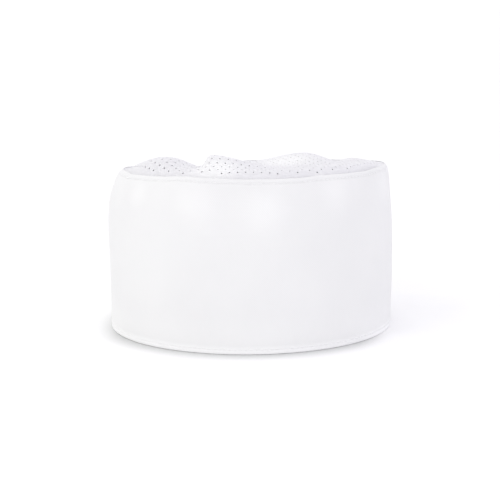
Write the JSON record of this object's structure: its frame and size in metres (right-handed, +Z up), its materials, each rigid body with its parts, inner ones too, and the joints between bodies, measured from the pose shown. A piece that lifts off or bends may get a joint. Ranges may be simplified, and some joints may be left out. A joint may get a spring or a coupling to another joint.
{
  "type": "chef skull cap",
  "caption": "Low round cook's cap with a stiff white cloth band, a perforated mesh crown and a hook-and-loop tab across a slit at the nape.",
  "frame": {"origin": "centre of the head opening, on the plane of the hem's lower edge", "axes": "+Z up towards the crown, -Y the way the wearer faces, +Y the nape and its tab, +X the wearer's left"},
  "size_m": [0.1846, 0.1988, 0.1132],
  "materials": {
    "twill": "stiffened white cotton-rich twill, matt",
    "interfacing": "non-woven fusible stiffener",
    "lining": "plain-woven white lining",
    "terry": "looped white towelling",
    "tape": "white woven tape with a fine rib",
    "mesh_cloth": "white knitted sports mesh with open eyelets, matt",
    "thread": "white polyester sewing thread, slight sheen",
    "loop_pile": "brushed nylon loop pile",
    "hook_tape": "woven nylon tape with small moulded hooks",
    "satin_label": "blank white satin ribbon"
  },
  "bodies": {
    "cap": {"band_outer": "twill", "band_interfacing": "interfacing", "band_lining": "lining", "sweatband": "terry", "slit_binding": "tape", "slit_bartack": "thread", "crown_mesh": "mesh_cloth", "crown_seam_binding": "tape", "crown_topstitch": "thread", "hem_topstitch": "thread", "sweatband_stitch": "thread", "tab_anchor": "twill", "tab_anchor_stitch": "thread", "loop_patch": "loop_pile", "loop_patch_stitch": "thread", "label_stitch": "thread"},
    "closure_tab": {"tab_outer": "twill", "tab_interfacing": "interfacing", "tab_lining": "lining", "tab_topstitch": "thread", "hook_patch": "hook_tape", "hook_patch_stitch": "thread"},
    "care_label": {"care_label": "satin_label"}
  },
  "joints": [
    {"name": "tab_peel", "type": "hinge", "parent": "cap", "child": "closure_tab", "pos_m": [0.025, 0.0977, 0.044], "axis": [0, 0, -1], "range_deg": [0, 120]},
    {"name": "label_swing", "type": "hinge", "parent": "cap", "child": "care_label", "pos_m": [-0.086, 0, 0.0887], "axis": [0, -1, 0], "range_deg": [0, 80]}
  ]
}
